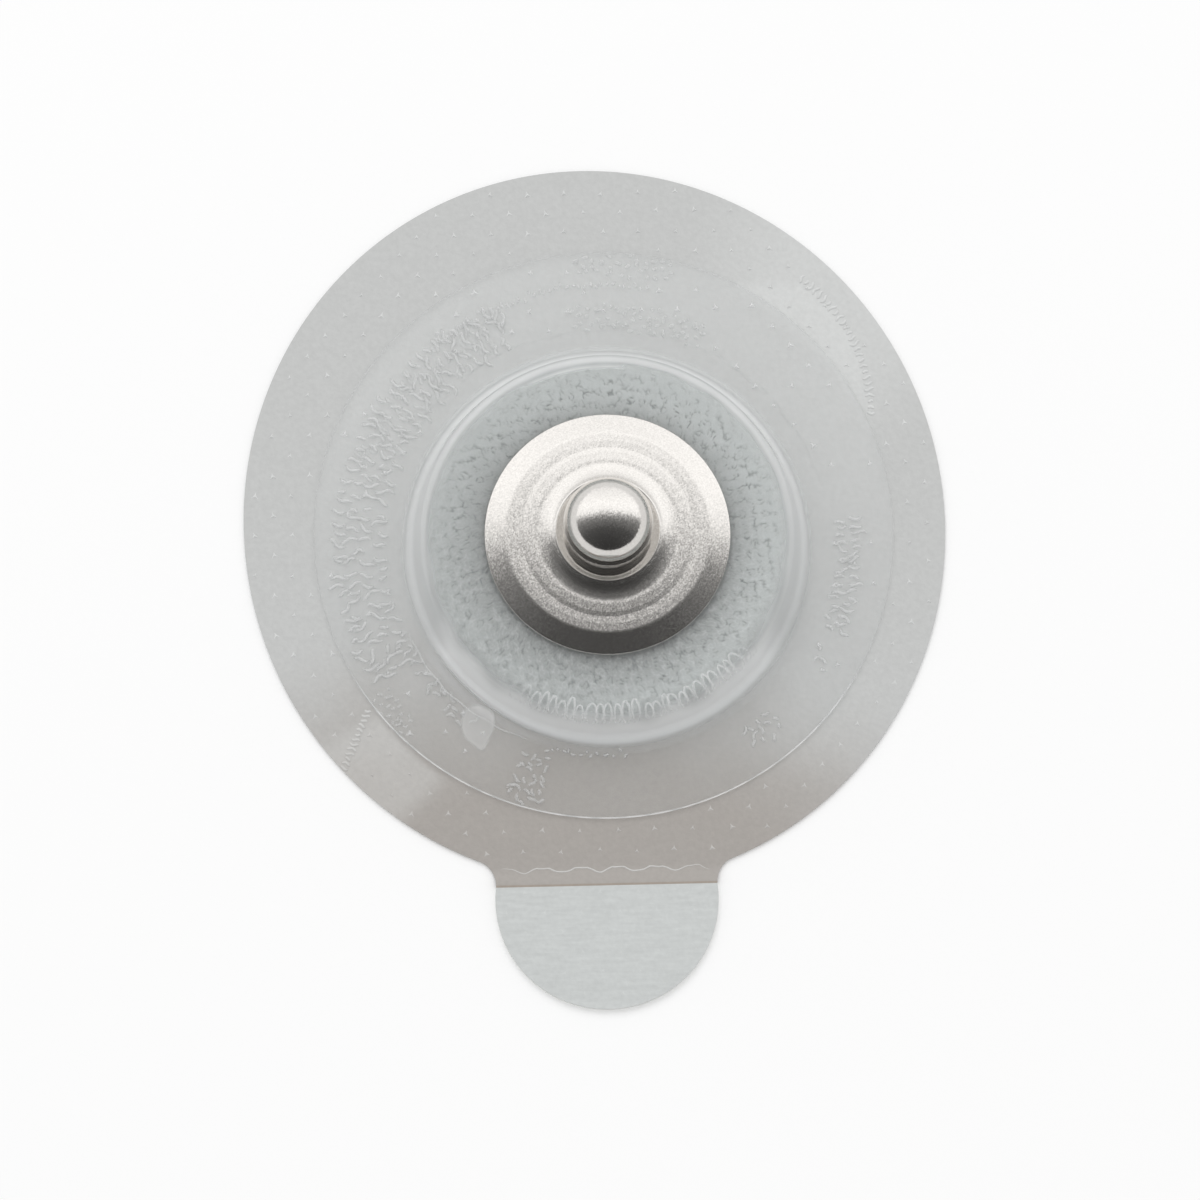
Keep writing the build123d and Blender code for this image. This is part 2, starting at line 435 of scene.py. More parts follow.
# paler where the film stands off the table, plus painted light under the cover towards the head and on the
# burrs
paleness = add_node(tree, "ShaderNodeAttribute", attribute_name="pale_and_painted_light").outputs["Fac"]
marked_colour = add_node(
    tree,
    "ShaderNodeMix",
    {0: paleness, 6: edge_colour.outputs[2], 7: linear("#EEF0EF")},
    data_type="RGBA",
)
fleck = add_node(tree, "ShaderNodeTexNoise", {"Vector": place, "Scale": 1 / (0.22 * MM), "Detail": 3.0})
fleck_shade = add_node(
    tree,
    "ShaderNodeMapRange",
    {"Value": fleck.outputs["Fac"], "From Min": 0.3, "From Max": 0.7, "To Min": 0.96, "To Max": 1.03},
)
flecked = add_node(
    tree,
    "ShaderNodeVectorMath",
    {0: marked_colour.outputs[2], 1: fleck_shade.outputs["Result"]},
    operation="MULTIPLY",
)
tree.links.new(flecked.outputs[0], shader.inputs["Base Color"])
gloss = add_node(
    tree,
    "ShaderNodeMapRange",
    {"Value": on_paper.outputs["Result"], "To Min": 0.32, "To Max": 0.5},
)
tree.links.new(gloss.outputs["Result"], shader.inputs["Roughness"])
peel = add_node(
    tree, "ShaderNodeBump", {"Height": fleck.outputs["Fac"], "Strength": 0.5, "Distance": 0.02 * MM}
)
tree.links.new(peel.outputs["Normal"], shader.inputs["Normal"])
shader.inputs["IOR"].default_value = 1.51

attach(backing_tape, "root")
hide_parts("backing_tape")


# Tab paper
# Plain white paper cut with the same die, stuck under the tab so that its adhesive can be gripped. Only its
# cut edges and its underside show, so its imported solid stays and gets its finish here.
tab_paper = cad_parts["tab_paper"]

# Wood-free paper: flat white with a felt of short fibres, no shine.
tree, shader = new_finish("wood-free white paper", tab_paper)
place = add_node(tree, "ShaderNodeTexCoord").outputs["Object"]
fibre = add_node(tree, "ShaderNodeTexNoise", {"Vector": place, "Scale": 1 / (0.12 * MM), "Detail": 4.0})
paper_colour = add_node(
    tree,
    "ShaderNodeMix",
    {0: fibre.outputs["Fac"], 6: linear("#D9DAD6"), 7: linear("#ECEDEA")},
    data_type="RGBA",
)
tree.links.new(paper_colour.outputs[2], shader.inputs["Base Color"])
felt = add_node(
    tree, "ShaderNodeBump", {"Height": fibre.outputs["Fac"], "Strength": 0.6, "Distance": 0.01 * MM}
)
tree.links.new(felt.outputs["Normal"], shader.inputs["Normal"])
shader.inputs["Roughness"].default_value = 0.85


# Cover disc
# Smooth clear film, cut as a disc and stuck over the tape's hole, drawn up as a low dome over the sponge. Air
# is caught under it in fern-like ridges round the dome, and its cut edge stands up as a fine lip.
cover_low, cover_high = span("cover_disc")
cover_thickness = 0.12
cover_hole = 1.4
dome_top = cover_high[2]
rim_top = cover_low[2] + cover_thickness
cover_gap = 0.004
skirt_top_under = 8.23
skirt_foot_under = 8.63
skirt_run = skirt_foot_under - skirt_top_under
skirt_rise = dome_top - rim_top
skirt_shift = cover_thickness * (math.hypot(skirt_rise, skirt_run) - skirt_run) / skirt_rise
skirt_top = skirt_top_under + skirt_shift
skirt_foot = skirt_foot_under + skirt_shift
lip_width = 0.08
lip_height = 0.025


def rounded(corners, radii, arc_points=8):
    """Section through corners (radius, height): each inner corner is replaced by the arc of its radius that
    touches both sides, and an arc of no radius leaves the corner."""
    corners = np.array(corners, dtype=float)
    out = [corners[:1]]
    for before, corner, after, radius in zip(corners[:-2], corners[1:-1], corners[2:], radii):
        back = (before - corner) / np.linalg.norm(before - corner)
        onward = (after - corner) / np.linalg.norm(after - corner)
        if radius == 0:
            out.append(corner[None, :])
            continue
        half = math.acos(np.clip(back @ onward, -1, 1)) / 2
        bisector = (back + onward) / np.linalg.norm(back + onward)
        middle = corner + bisector * radius / math.sin(half)
        start = corner + back * radius / math.tan(half) - middle
        end = corner + onward * radius / math.tan(half) - middle
        share = np.linspace(0, 1, arc_points)[:, None]
        sweep = math.pi - 2 * half
        arc = (np.sin((1 - share) * sweep) * start + np.sin(share * sweep) * end) / math.sin(sweep)
        out.append(middle + arc)
    out.append(corners[-1:])
    return np.concatenate(out)


def filled(section, step):
    """The same section with points added on its long runs, no further apart than step."""
    pieces = []
    for start, end in zip(section[:-1], section[1:]):
        count = max(1, math.ceil(np.linalg.norm(end - start) / step))
        pieces.append(start + (end - start) * (np.arange(count) / count)[:, None])
    return np.concatenate([*pieces, section[-1:]])


def wave_field(points, waves, seed):
    """Smooth random field of unit spread: the sum of cosine waves, one for each wave vector in radians for
    each millimetre, with random phases."""
    phases = np.random.default_rng(seed).uniform(0, 2 * math.pi, len(waves))
    total = np.zeros(points.shape[:-1])
    for wave, phase in zip(waves, phases):
        total += np.cos(points @ wave + phase)
    return total * math.sqrt(2 / len(waves))


def round_waves(pitch, count, seed):
    """Wave vectors in all directions whose crest lines lie about pitch apart."""
    random = np.random.default_rng(seed)
    angle = random.uniform(0, 2 * math.pi, count)
    length = math.pi / pitch * random.uniform(0.75, 1.25, count)
    return np.stack([length * np.cos(angle), length * np.sin(angle)], axis=-1)


cover_columns = 720
cover_angle = np.arange(cover_columns) * 2 * math.pi / cover_columns - 0.5 * math.pi
toward = cover_shift_x * np.cos(cover_angle) + cover_shift_y * np.sin(cover_angle)
cover_edge = toward + np.sqrt(cover_radius**2 - cover_shift_x**2 - cover_shift_y**2 + toward**2)
skirt = rounded(
    [(cover_hole, dome_top), (skirt_top, dome_top), (skirt_foot, rim_top), (tape_hole, rim_top)], [0.52, 0.4]
)
plateau = np.array([(r, dome_top) for r in (cover_hole, 3.4, 5.4, 5.9, 6.4, 6.9, 7.3, 7.6, 7.75)])
dome = np.concatenate([plateau, filled(skirt[1:], 0.14)])
rim_share = np.concatenate([np.linspace(0.015, 0.95, 46), np.linspace(0.965, 1, 6)])
rim_r = tape_hole + rim_share[:, None] * (cover_edge - tape_hole)
under = np.array(
    [
        (tape_hole, rim_top),
        (skirt_foot_under, rim_top),
        (skirt_top_under, dome_top),
        (cover_hole, dome_top),
    ]
)
under[:, 1] -= cover_thickness - cover_gap
edge_r = np.stack([cover_edge, cover_edge, tape_hole + 0.5 * (cover_edge - tape_hole)])
rim_under = rim_top - cover_thickness + cover_gap
ones = np.ones(cover_columns)
cover_r = np.concatenate([dome[:, :1] * ones, rim_r, edge_r, under[:, :1] * ones])
cover_z = np.concatenate(
    [
        dome[:, 1:] * ones,
        rim_top + 0 * rim_r,
        np.stack([(rim_top - 0.5 * cover_thickness) * ones, rim_under * ones, rim_under * ones]),
        under[:, 1:] * ones,
    ]
)
top_rows = len(dome) + len(rim_r)
degrees = np.degrees(cover_angle)
seen_r = cover_r[:top_rows]
seen_xy = np.stack([seen_r * np.cos(cover_angle), seen_r * np.sin(cover_angle)], axis=-1)
patches = wave_field(seen_xy, round_waves(1.1, 24, 7), 8)

# the film bridges the dome's foot on the head's side, its cut edge turns up a little, and a flake of film
# clings to it beside the tab
bridge_zone = between(degrees, 20, 150, 20)
bridge_end = 10.05 + 0.08 * patches
bridge_part = np.clip((bridge_end - seen_r) / 1.1, 0, 1) * (seen_r > skirt_foot - 0.05)
bridge = bridge_zone * bridge_part * bridge_part
bridge_line = bridge_zone * bell(seen_r, bridge_end, 0.07)
lip = bell(seen_r, cover_edge - 0.3 * lip_width, lip_width) * (seen_r > tape_hole + 1)
lip_breaks = wave_field(seen_xy, round_waves(0.5, 24, 17), 18)
slow = wave_field(seen_xy, round_waves(1.8, 20, 12), 13)
on_rim = np.clip((seen_r - skirt_foot) / 0.5, 0, 1)
flake_middle_x = -5.93
flake_middle_y = -8.18
flake_half_width = 0.72
flake_half_length = 0.95
flake_y = (seen_xy[..., 1] - flake_middle_y) / flake_half_length
flake_x = (seen_xy[..., 0] - flake_middle_x) / (flake_half_width * (1 + 0.2 * np.clip(flake_y, -1, 1)))
flake_part = np.hypot(flake_x, flake_y) + 0.07 * slow + 0.05 * lip_breaks
flake = between(flake_part, -1, 1, 0.2)
flake_edge = bell(flake_part, 0.95, 0.16)
relief = lip_height * lip + 0.1 * bridge + 0.012 * flake + 0.004 * slow * on_rim
cover_z[:top_rows] += relief

cover_points = np.stack([cover_r * np.cos(cover_angle), cover_r * np.sin(cover_angle), cover_z], axis=-1)
cover_points = cover_points.reshape(-1, 3)
cover_faces = grid_faces(len(cover_r), cover_columns, ring=True)


def fern_places(first, last, radii, pitch, seed):
    """Places of air ridges between two angles in degrees: rows at the given radii, a step of pitch apart and
    scattered by a part of it. Returns each place's angle in radians and radius."""
    random = np.random.default_rng(seed)
    angles, lengths = [], []
    for radius in radii:
        step = math.degrees(pitch / radius)
        angle = np.arange(first + random.uniform(0, step), last, step)
        angles.append(angle + random.normal(0, 0.16 * step, len(angle)))
        lengths.append(radius + random.normal(0, 0.1, len(angle)))
    return np.radians(np.concatenate(angles)), np.concatenate(lengths)


# air caught under the film: fern-like ridges along the radii at both sides, pebbles and strings of short
# teeth towards the head, and a few curls beside the tab
air_height = 0.035
cover_hide = []
cover_white = []
cover_dark = []
for first, last, radii, pitch, shortest, longest, scatter, half_width, show, seed in (
    (112, 211, (10.25, 10.9, 11.5, 12.05), 0.5, 0.4, 1.0, 0.3, 0.1, 0.36, 51),
    (113, 160, (10.6, 11.3, 11.9), 0.55, 0.3, 0.8, 0.3, 0.09, 0.26, 52),
    (203, 232, (9.95, 10.3), 0.5, 0.3, 0.6, 0.9, 0.09, 0.3, 53),
    (-22, 6, (10.55, 11.2), 0.33, 0.4, 0.75, 0.25, 0.1, 0.34, 54),
    (64, 97, (10.15, 10.45, 10.8, 11.1), 0.36, 0.12, 0.3, 1.5, 0.09, 0.28, 55),
    (75, 96, (12.75, 13.05, 13.35), 0.4, 0.12, 0.3, 1.5, 0.09, 0.28, 56),
    (79, 128, (12.15,), 0.26, 0.16, 0.3, 0.3, 0.07, 0.3, 57),
    (-56, -47, (10.5, 10.9, 11.3), 0.42, 0.25, 0.55, 1.5, 0.09, 0.34, 58),
    (-32, -28, (10.7, 11.0), 0.45, 0.25, 0.5, 1.5, 0.09, 0.34, 59),
    (247, 255, (10.1, 10.5, 10.9, 11.3, 11.7, 12.1), 0.36, 0.25, 0.55, 1.5, 0.09, 0.34, 60),
    (252, 274, (9.6,), 0.25, 0.12, 0.25, 1.5, 0.08, 0.42, 61),
    (212, 222, (11.9, 12.2, 12.5), 0.3, 0.15, 0.3, 0.5, 0.07, 0.3, 62),
):
    random = np.random.default_rng(seed)
    angle, radius = fern_places(first, last, radii, pitch, seed)
    heading = angle + random.normal(0, scatter, len(angle))
    length = random.uniform(shortest, longest, len(angle))
    x, y = sways(radius * np.cos(angle), radius * np.sin(angle), heading, length, seed)
    ridge_points, ridge_faces, arch = ridges(x, y, rim_top + 0 * x, half_width, air_height)
    cover_points, cover_faces = joined(cover_points, cover_faces, ridge_points, ridge_faces)
    cover_hide.append(0.16 + (show - 0.16) * arch)
    cover_white.append(0.2 + 0.6 * arch)
    cover_dark.append(0.6 * (1 - arch))

# gel squeezed up against the film on the tab's side, as an arcade of pale loops side by side: the points of
# each go round an oval whose long way is down the dome's section, and stand off the dome along its own normal
loop_place = np.radians(np.arange(236, 324, 3.0))[:, None]
loop_random = np.random.default_rng(63)
loop_half_width = loop_random.uniform(0.13, 0.26, loop_place.shape)
loop_half_length = loop_random.uniform(0.42, 0.66, loop_place.shape)
dome_run = np.concatenate([[0], np.cumsum(np.linalg.norm(np.diff(dome, axis=0), axis=1))])
loop_middle = np.interp(7.7, dome[:, 0], dome_run) + 0.56 + loop_random.normal(0, 0.05, loop_place.shape)
loop_turn = np.linspace(-math.pi, math.pi, 21)
loop_fade = np.repeat(between(np.degrees(loop_place[:, 0]), 241, 318, 14), 5 * len(loop_turn))
loop_r = np.interp(loop_middle - loop_half_length * np.cos(loop_turn), dome_run, dome[:, 0])
loop_angle = loop_place + loop_random.normal(0, 0.006, loop_place.shape)
loop_angle = loop_angle + loop_half_width * np.sin(loop_turn) / loop_r
x, y = loop_r * np.cos(loop_angle), loop_r * np.sin(loop_angle)
ridge_points, ridge_faces, arch = ridges(x, y, 0 * x, 0.075, 0.014)
dome_slope = np.gradient(dome[:, 1], dome[:, 0])
ridge_r = np.hypot(ridge_points[:, 0], ridge_points[:, 1])
slope = np.interp(ridge_r, dome[:, 0], dome_slope)
stand_off = ridge_points[:, 2] / np.hypot(1, slope)
ridge_points[:, :2] *= (1 - slope * stand_off / ridge_r)[:, None]
ridge_points[:, 2] = np.interp(ridge_r, dome[:, 0], dome[:, 1]) + stand_off
cover_points, cover_faces = joined(cover_points, cover_faces, ridge_points, ridge_faces)
cover_hide.append(loop_fade * (0.06 + 0.3 * arch))
cover_white.append(0.3 + 0.7 * arch)
cover_dark.append(0 * arch)

# the line up to which the film is pressed down beside the dome, towards the tab
contact_angle = np.radians(np.linspace(203, 247, 160))[None, :]
contact_r = 9.68 + 0.13 * np.cos(5 * contact_angle) + 0.03 * np.sin(41 * contact_angle)
x, y = contact_r * np.cos(contact_angle), contact_r * np.sin(contact_angle)
ridge_points, ridge_faces, arch = ridges(x, y, rim_top + 0 * x, 0.05, 0.015)
cover_points, cover_faces = joined(cover_points, cover_faces, ridge_points, ridge_faces)
cover_hide.append(0.1 + 0.25 * arch)
cover_white.append(0.3 + 0.7 * arch)
cover_dark.append(0 * arch)

# the tape's pricks lift the film, except where it is stuck down towards the tab, and about three in five show
shown_share = 0.6
prick_r = np.hypot(prick_x, prick_y)
prick_degrees = np.degrees(np.arctan2(prick_y, prick_x))
under_cover = np.hypot(prick_x - cover_shift_x, prick_y - cover_shift_y) < cover_radius - 0.3
under_cover &= prick_r > tape_hole + 0.8
stuck = (prick_degrees > -120) & (prick_degrees < -30)
shown = under_cover & ~stuck & (np.random.default_rng(14).uniform(0, 1, len(prick_x)) < shown_share)
x, y = prick_x[shown], prick_y[shown]
bump_points, bump_faces = pricks(x, y, rim_top + 0 * x, 0.19, 0.05, 23)
cover_points, cover_faces = joined(cover_points, cover_faces, bump_points, bump_faces)
cover_hide.append(np.tile([0.2] * 6 + [0.55], shown.sum()))
cover_white.append(np.full(len(bump_points), 0.8))
cover_dark.append(np.zeros(len(bump_points)))
cover_disc = new_piece("cover_disc_film", cover_points, cover_faces, crease=60)

# how much the film hides, and how white or dark it looks: clear over the sponge, frosted on the skirt and
# white where air or gel lies under it. Painted light and shade are laid over this: a whiter skirt, cut edge
# and band beside the foot on the tab's side, highlights on the dome's shoulder and foot, painted shade on the
# dome's bend and in the bridge's crease on the head's side, and a dark line along the rest of the cut edge
by_tab = np.clip(between(degrees, -140, -32, 16) + between(degrees, 209, 300, 12), 0, 1)
rim_haze = np.clip((seen_r - 8.8) / 0.4, 0, 1)
headward = between(degrees, 30, 150, 30)
foot_inner = 8.0 + 0.24 * by_tab - 0.08 * headward + 0.03 * patches
foot_outer = 9.12 - 0.15 * bell(degrees, 225, 45)
foot = between(seen_r, foot_inner, 20, 1.0 - 0.3 * by_tab)
foot = foot * between(seen_r, 0, foot_outer, 0.75 - 0.35 * by_tab)
# painted shade on the dome's bend on the head's side, where it catches the light
lit_bend = headward * bell(seen_r, 8.44, 0.28)
# painted highlight: two faint pale lines round the dome's foot
foot_line = (bell(seen_r, 8.86, 0.06) + bell(seen_r, 9.04, 0.06)) * 0.06
# painted highlight: a white arc on the dome's shoulder on the head's side
shine = bell(seen_r, 7.78, 0.08) * between(degrees, 84, 116, 8)
# painted light: the cut edge is white on the tab's side, where light comes out through the film's edge
painted_edge_light = lip * by_tab * np.clip(0.75 + 0.6 * lip_breaks, 0, 1)
# painted light: whiter just outside the dome's foot on the tab's side, where the dome's shadow falls
beside_foot = by_tab * bell(seen_r, 9.35, 0.4)
arcade_haze = by_tab * between(seen_r, 7.8, 8.75, 0.35)
# painted light on the frosted skirt: whiter on the tab's side, which faces away from the light, and greyer at
# the sides, less so on the head's side
hide = 0.06 + 0.05 * rim_haze + (0.52 + 0.16 * by_tab) * foot + 0.2 * foot_line
hide += 0.12 * bridge_line + 0.3 * shine + 0.15 * beside_foot + 0.07 * arcade_haze
hide += lip * (0.2 + 0.3 * by_tab) + 0.2 * flake + 0.05 * flake_edge
white_and_painted_light = painted_edge_light + foot_line + shine + 0.7 * flake
white_and_painted_light += 0.5 * foot * by_tab + 0.4 * beside_foot + 0.2 * arcade_haze
# painted shade: a dark line along the cut edge away from the tab and in the crease where the bridge comes down
# on the tape
dark_and_painted_shade = 0.5 * lip * (1 - by_tab) + 0.4 * bridge_line + 0.5 * lit_bend
dark_and_painted_shade += 0.21 * foot * (1 - by_tab) * (1 - 0.6 * headward)
hidden = (len(cover_r) - top_rows) * cover_columns
store(cover_disc, "hide", np.concatenate([np.clip(hide, 0, 1).ravel(), np.full(hidden, 0.02), *cover_hide]))
store(cover_disc, "white_and_painted_light", np.concatenate([np.clip(white_and_painted_light, 0, 1).ravel(), np.zeros(hidden), *cover_white]))
store(cover_disc, "dark_and_painted_shade", np.concatenate([np.clip(dark_and_painted_shade, 0, 1).ravel(), np.full(hidden, 0.3), *cover_dark]))

# Clear cast film: almost colourless with a soft shine, milky and dull where air or gel lies against it. Its
# colour is darker towards the tab, a painted shade, and its white and dark attributes also carry painted light
# and shade.
tree, shader = new_finish("clear cast film", cover_disc)
place = add_node(tree, "ShaderNodeTexCoord").outputs["Object"]
height_on_film = add_node(tree, "ShaderNodeSeparateXYZ", {"Vector": place}).outputs["Y"]
painted_light_towards_head = add_node(
    tree,
    "ShaderNodeMapRange",
    {"Value": height_on_film, "From Min": -12 * MM, "From Max": 4 * MM},
    interpolation_type="SMOOTHSTEP",
)
# painted shade: the film's colour is darker towards the tab
film_colour = add_node(
    tree,
    "ShaderNodeMix",
    {0: painted_light_towards_head.outputs["Result"], 6: linear("#D2D5D5"), 7: linear("#F2F4F4")},
    data_type="RGBA",
)
whiteness = add_node(tree, "ShaderNodeAttribute", attribute_name="white_and_painted_light").outputs["Fac"]
milky_and_painted_light = add_node(
    tree,
    "ShaderNodeMix",
    {0: whiteness, 6: film_colour.outputs[2], 7: linear("#FAFBFB")},
    data_type="RGBA",
)
darkness = add_node(tree, "ShaderNodeAttribute", attribute_name="dark_and_painted_shade").outputs["Fac"]
cover_colour = add_node(
    tree,
    "ShaderNodeMix",
    {0: darkness, 6: milky_and_painted_light.outputs[2], 7: linear("#8E8F8E")},
    data_type="RGBA",
)
tree.links.new(cover_colour.outputs[2], shader.inputs["Base Color"])
hiding = add_node(tree, "ShaderNodeAttribute", attribute_name="hide").outputs["Fac"]
tree.links.new(hiding, shader.inputs["Alpha"])
gloss = add_node(
    tree,
    "ShaderNodeMapRange",
    {"Value": hiding, "From Min": 0.1, "From Max": 0.4, "To Min": 0.5, "To Max": 0.9},
)
tree.links.new(gloss.outputs["Result"], shader.inputs["Roughness"])
grain = add_node(tree, "ShaderNodeTexNoise", {"Vector": place, "Scale": 1 / (0.3 * MM), "Detail": 2.0})
ripple = add_node(
    tree, "ShaderNodeBump", {"Height": grain.outputs["Fac"], "Strength": 0.3, "Distance": 0.015 * MM}
)
tree.links.new(ripple.outputs["Normal"], shader.inputs["Normal"])
shader.inputs["IOR"].default_value = 1.5

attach(cover_disc, "root")
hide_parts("cover_disc")


# Gel sponge
# A disc of open-cell foam soaked with conductive gel, in the tape's hole under the dome. A pocket in its top
# takes the eyelet's flange, and its cells show as small dark worm-like pores.
sponge_high = span("gel_sponge")[1]
sponge_radius = sponge_high[0]
sponge_top = sponge_high[2] - 0.01
pocket_radius = 5.31
pocket_floor = 1.895
pole_ring = 0.6
pore_sink = 0.05
sponge_columns = 1000
sponge_angle = np.arange(sponge_columns) * 2 * math.pi / sponge_columns
section = rounded(
    [
        (pole_ring, pocket_floor),
        (pocket_radius, pocket_floor),
        (pocket_radius, sponge_top),
        (sponge_radius, sponge_top),
        (sponge_radius, 0),
        (pole_ring, 0),
    ],
    [0.1, 0.08, 0.6, 0.05],
)
shown_part = (section[:, 0] > pocket_radius) & (section[:, 1] > 0.04)
first_shown, last_shown = np.flatnonzero(shown_part)[[0, -1]]
section = np.concatenate(
    [
        section[:first_shown],
        filled(section[first_shown : last_shown + 1], 0.06),
        filled(section[last_shown + 1 :], 0.8),
    ]
)
sponge_r = section[:, :1] + 0 * sponge_angle
sponge_xy = np.stack([sponge_r * np.cos(sponge_angle), sponge_r * np.sin(sponge_angle)], axis=-1)
cells = wave_field(sponge_xy, round_waves(0.17, 70, 31), 32)
broken = wave_field(sponge_xy, round_waves(0.26, 50, 33), 34)
ragged = wave_field(sponge_xy, round_waves(0.8, 30, 35), 36)
open_top = np.clip((section[:, 1] - 1.9) / 0.3, 0, 1)[:, None] * (section[:, :1] > pocket_radius + 0.05)
pores = open_top * np.exp(-((cells / 0.33) ** 2)) * np.clip(broken * 0.8 + 0.4, 0, 1)

# threads of gel between the pores, most of them on the tab's side
strands = wave_field(sponge_xy, round_waves(0.15, 60, 37), 38)
tabward = 0.3 + 0.7 * np.clip(0.4 - np.sin(sponge_angle), 0, 1)
threads = open_top * tabward * np.exp(-((strands / 0.4) ** 2)) * np.clip(0.6 - 0.8 * broken, 0, 1)
edgeward = np.clip((section[:, :1] - 6.7) / 1.0, 0, 1)
sink = pore_sink * pores + open_top * (0.012 + 0.01 * ragged)
sponge_points = np.concatenate(
    [
        np.concatenate([sponge_xy, (section[:, 1:] - sink)[..., None]], axis=-1).reshape(-1, 3),
        [(0, 0, pocket_floor), (0, 0, 0)],
    ]
)
sponge_faces = grid_faces(len(section), sponge_columns, ring=False)
gel_sponge = new_piece("gel_sponge_foam", sponge_points, sponge_faces, crease=70)

# paler from the flange outwards, where the foam gets more light, soonest on the head's side and least at the
# left, with fainter pores towards the edge
lit = 0.38 * np.sin(sponge_angle) + 0.15 * np.cos(sponge_angle)
painted_foam_light = np.clip((sponge_r - 5.4 + lit + 0.1 * ragged) / 1.65, 0, 1)
painted_foam_light *= 1 - 0.42 * np.clip(-np.cos(sponge_angle - 0.35), 0, 1)
pore_depth = pores * (1 - 0.7 * edgeward)
store(gel_sponge, "pore", np.concatenate([pore_depth.ravel(), [0, 0]]))
store(gel_sponge, "rim", np.concatenate([painted_foam_light.ravel(), [0, 0]]))
store(gel_sponge, "gel", np.concatenate([0.25 * threads.ravel(), [0, 0]]))

# Wet polyurethane foam: grey-white and cloudy, so light spreads some way inside it. Darker in the pores, paler
# along the threads of gel, and with painted shade beside the stud's flange.
tree, shader = new_finish("wet polyurethane foam", gel_sponge)
place = add_node(tree, "ShaderNodeTexCoord").outputs["Object"]
pore = add_node(tree, "ShaderNodeAttribute", attribute_name="pore").outputs["Fac"]
rim = add_node(tree, "ShaderNodeAttribute", attribute_name="rim").outputs["Fac"]
gel = add_node(tree, "ShaderNodeAttribute", attribute_name="gel").outputs["Fac"]
foam_colour = add_node(
    tree, "ShaderNodeMix", {0: rim, 6: linear("#A2A5A4"), 7: linear("#C1C5C4")}, data_type="RGBA"
)
wet_colour = add_node(
    tree, "ShaderNodeMix", {0: pore, 6: foam_colour.outputs[2], 7: linear("#949897")}, data_type="RGBA"
)
gel_colour = add_node(
    tree, "ShaderNodeMix", {0: gel, 6: wet_colour.outputs[2], 7: linear("#F0F3F3")}, data_type="RGBA"
)
tree.links.new(gel_colour.outputs[2], shader.inputs["Base Color"])
cell_noise = add_node(tree, "ShaderNodeTexNoise", {"Vector": place, "Scale": 1 / (0.15 * MM), "Detail": 3.0})
cell_bump = add_node(
    tree, "ShaderNodeBump", {"Height": cell_noise.outputs["Fac"], "Strength": 0.4, "Distance": 0.02 * MM}
)
tree.links.new(cell_bump.outputs["Normal"], shader.inputs["Normal"])
shader.inputs["Roughness"].default_value = 0.5
shader.inputs["Subsurface Weight"].default_value = 1.0
shader.inputs["Subsurface Radius"].default_value = (1.0, 1.0, 1.0)
shader.inputs["Subsurface Scale"].default_value = 1.5 * MM

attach(gel_sponge, "root")
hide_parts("gel_sponge")


# Sensor eyelet
# Moulded plastic eyelet with a plated coat of silver and silver chloride. Its flange lies in the sponge's
# pocket and its post goes up through the cover into the stud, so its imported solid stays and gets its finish.
sensor_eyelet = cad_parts["sensor_eyelet"]

# Silver chloride on moulded ABS: dull violet grey, finely speckled.
tree, shader = new_finish("silver chloride on moulded ABS", sensor_eyelet)
place = add_node(tree, "ShaderNodeTexCoord").outputs["Object"]
speckle = add_node(tree, "ShaderNodeTexNoise", {"Vector": place, "Scale": 1 / (0.08 * MM), "Detail": 3.0})
coat_colour = add_node(
    tree,
    "ShaderNodeMix",
    {0: speckle.outputs["Fac"], 6: linear("#8A888B"), 7: linear("#A5A2A6")},
    data_type="RGBA",
)
tree.links.new(coat_colour.outputs[2], shader.inputs["Base Color"])
coat_bump = add_node(
    tree, "ShaderNodeBump", {"Height": speckle.outputs["Fac"], "Strength": 0.4, "Distance": 0.01 * MM}
)
tree.links.new(coat_bump.outputs["Normal"], shader.inputs["Normal"])
shader.inputs["Roughness"].default_value = 0.6


# Snap stud
# Pressed from brass sheet and nickel-plated: a wide flange with a sloping border and a shallow groove, a
# collar with a dished top, and a hollow ball head on a neck. It is pressed on the eyelet's post, and the
# cover is clamped between the two.
stud_low, stud_high = span("snap_stud")
flange_under = stud_low[2]
stud_top = stud_high[2]
rim_radius = stud_high[0]
sheet = 0.25
head_radius = 2.0
head_land = 0.4
head_flare = 0.45
neck_radius = 1.65
neck_height = 0.56
collar_top_radius = 2.35
ledge_dish = 0.14
collar_radius = 2.71
collar_height = 0.36
shoulder = 4.58
flange_rise = 0.16
border_rise = 0.4
hem_width = 0.5
groove_inner = 3.67
groove_middle = 3.87
groove_outer = 4.2
groove_depth = 0.012
wave_middle = 3.13
wave_half_width = 0.2
wave_depth = 0.011
land_top = stud_top - head_radius
land_foot = land_top - head_land
neck_top = land_foot - head_flare
collar_top = neck_top - neck_height
collar_foot = collar_top - collar_height
shoulder_top = collar_foot - flange_rise
rim_level = shoulder_top - border_rise
hem_inner = rim_radius - hem_width
hem_level = shoulder_top - border_rise * (hem_inner - shoulder) / (rim_radius - shoulder) - sheet


def flange_level(radius):
    """Height of the flange's gently sloping top between the collar and the shoulder."""
    return shoulder_top + (collar_foot - shoulder_top) * (shoulder - radius) / (shoulder - collar_radius)


def ball(radius):
    """Quarter section of the ball head, from near its pole to its widest."""
    quarter = np.radians(np.linspace(89, 0, 36))
    return np.stack([radius * np.cos(quarter), land_top + radius * np.sin(quarter)], axis=-1)


